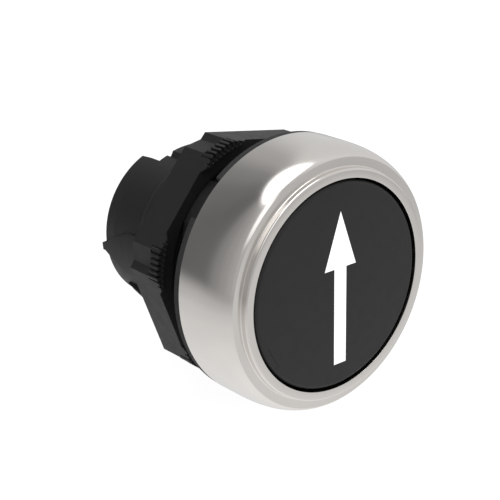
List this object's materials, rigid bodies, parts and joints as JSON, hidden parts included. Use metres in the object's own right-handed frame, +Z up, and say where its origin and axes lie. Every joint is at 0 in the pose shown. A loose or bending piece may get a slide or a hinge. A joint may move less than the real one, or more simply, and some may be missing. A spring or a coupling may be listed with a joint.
{
  "type": "push button head",
  "caption": "Flush push button head with a stepped satin chrome bezel, black cap with a white up arrow, threaded body, gasket and hexagon lock nut.",
  "frame": {"origin": "on the button's axis, at the gasket's panel face, where the front panel sits", "axes": "+Y along the button's axis from the cap to the rear of the body, +Z up as the arrow points, +X to the right seen from the front"},
  "size_m": [0.0298, 0.0291, 0.0298],
  "materials": {
    "chrome": "satin",
    "cap_black": "fine moulded matt",
    "arrow_white": "matt",
    "body_black": "moulded matt",
    "nut_black": "moulded matt",
    "rubber_grey": "matt",
    "nylon_grey": "matt",
    "spring_steel": "drawn"
  },
  "bodies": {
    "base": {"housing": "body_black", "stem_bush": "nylon_grey", "bezel_ring": "chrome", "bezel_seal": "rubber_grey", "bezel_lock_ring": "spring_steel", "panel_gasket": "rubber_grey", "diaphragm_clamp": "nylon_grey", "sealing_diaphragm": "rubber_grey", "rear_spring_seat": "spring_steel", "return_spring": "spring_steel"},
    "button": {"button_cap": "cap_black", "arrow_symbol": "arrow_white", "cap_snap_ring": "spring_steel", "plunger": "nylon_grey", "plunger_foot": "nylon_grey", "plunger_stop_ring": "spring_steel", "front_spring_seat": "spring_steel"},
    "nut": {"lock_nut": "nut_black"}
  },
  "joints": [
    {"name": "button_press", "type": "slide", "parent": "base", "child": "button", "axis": [0, 1, 0], "range_m": [0, 0.004], "stiffness_N_per_m": 500, "springref_m": -0.006, "deforming": ["return_spring", "sealing_diaphragm"]},
    {"name": "nut_turn", "type": "hinge", "parent": "base", "child": "nut", "pos_m": [0, 0, 0], "axis": [0, 1, 0], "continuous": true}
  ]
}
